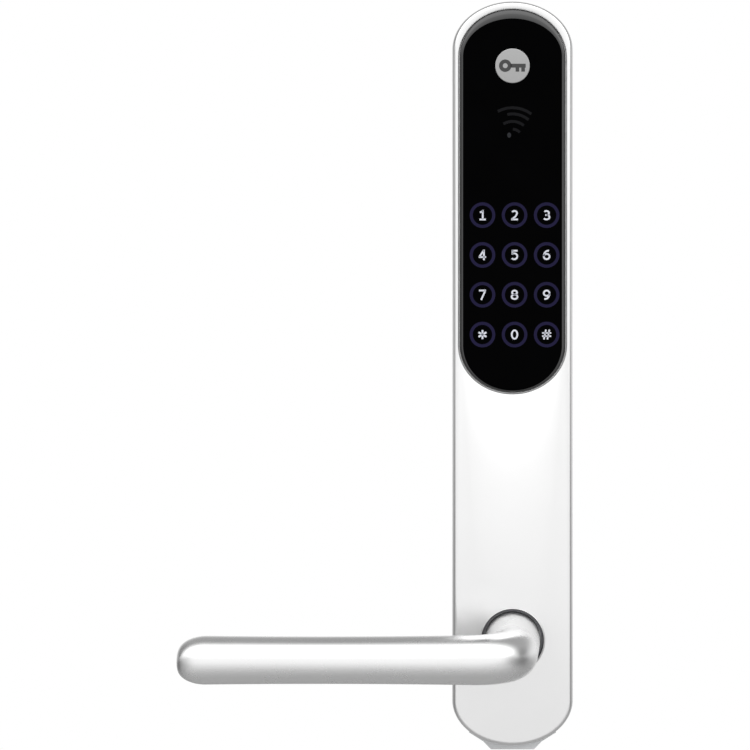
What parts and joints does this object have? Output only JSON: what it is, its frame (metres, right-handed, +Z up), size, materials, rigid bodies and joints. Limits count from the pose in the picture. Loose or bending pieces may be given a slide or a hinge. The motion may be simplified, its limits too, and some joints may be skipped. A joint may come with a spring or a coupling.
{
  "type": "keypad smart lock",
  "caption": "Outside unit of a keypad door lock: a tall metal plate with arched ends, a black touch keypad with a card reader mark, and a sprung lever handle on a square spindle.",
  "frame": {"origin": "the spindle's axis on the door's outside face, which is the plane of the back plate's rear side", "axes": "+X to the right for a person outside the door, +Y into the door along the spindle, +Z up"},
  "size_m": [0.1439, 0.1303, 0.2924],
  "materials": {
    "satin_metal": "satin chrome plate on die-cast metal",
    "gloss_black": "polished black, with a hard coat",
    "black_rubber": "moulded rubber",
    "badge_silver": "matte silver",
    "black_plastic": "moulded black plastic",
    "grey_plastic": "moulded light grey plastic",
    "circuit_board": "green solder mask",
    "key_light": "clear lens and white print, lit from behind",
    "copper": "bare copper winding",
    "zinc_steel": "zinc plated steel",
    "spring_steel": "oiled spring steel",
    "nickel": "bright nickel plate",
    "dark_nylon": "dark bearing nylon",
    "lead_red": "red wire sleeve",
    "lead_black": "black wire sleeve"
  },
  "bodies": {
    "escutcheon": {"housing_shell": "satin_metal", "keypad_panel": "gloss_black", "panel_seal": "black_rubber", "badge_disc": "badge_silver", "light_mask": "black_plastic", "key_led_1": "key_light", "key_led_2": "key_light", "key_led_3": "key_light", "key_led_4": "key_light", "key_led_5": "key_light", "key_led_6": "key_light", "key_led_7": "key_light", "key_led_8": "key_light", "key_led_9": "key_light", "key_led_star": "key_light", "key_led_0": "key_light", "key_led_hash": "key_light", "touch_board": "circuit_board", "touch_chip": "black_plastic", "radio_chip": "black_plastic", "control_chip": "black_plastic", "buzzer": "black_plastic", "cable_socket": "grey_plastic", "rfid_antenna": "copper", "antenna_ferrite": "black_plastic", "electronics_cover": "black_plastic", "cover_screw_1": "zinc_steel", "cover_screw_2": "zinc_steel", "cover_screw_3": "zinc_steel", "cover_screw_4": "zinc_steel", "back_plate": "zinc_steel", "rear_gasket": "black_rubber", "back_plate_screw_1": "zinc_steel", "back_plate_screw_2": "zinc_steel", "back_plate_screw_3": "zinc_steel", "back_plate_screw_4": "zinc_steel", "back_plate_screw_5": "zinc_steel", "back_plate_screw_6": "zinc_steel", "fixing_post_upper": "zinc_steel", "fixing_post_middle": "zinc_steel", "fixing_post_lower": "zinc_steel", "cable_grommet": "black_rubber", "lever_bush": "dark_nylon", "spring_case": "zinc_steel", "spring_case_cover": "zinc_steel", "spring_case_screw_1": "zinc_steel", "spring_case_screw_2": "zinc_steel", "return_spring": "spring_steel", "terminal_block": "grey_plastic", "battery_contact_left": "nickel", "battery_contact_right": "nickel", "contact_lead_left": "lead_black", "contact_lead_right": "lead_red"},
    "lever": {"lever_handle": "satin_metal", "spindle": "zinc_steel", "grub_screw": "spring_steel", "circlip": "spring_steel", "thrust_washer": "dark_nylon", "spring_driver": "zinc_steel"}
  },
  "joints": [
    {"name": "lever_turn", "type": "hinge", "parent": "escutcheon", "child": "lever", "pos_m": [0, 0, 0], "axis": [0, -1, 0], "range_deg": [0, 45], "stiffness_Nm_per_rad": 1.2, "springref_deg": -28.65, "deforming": ["return_spring"]}
  ]
}
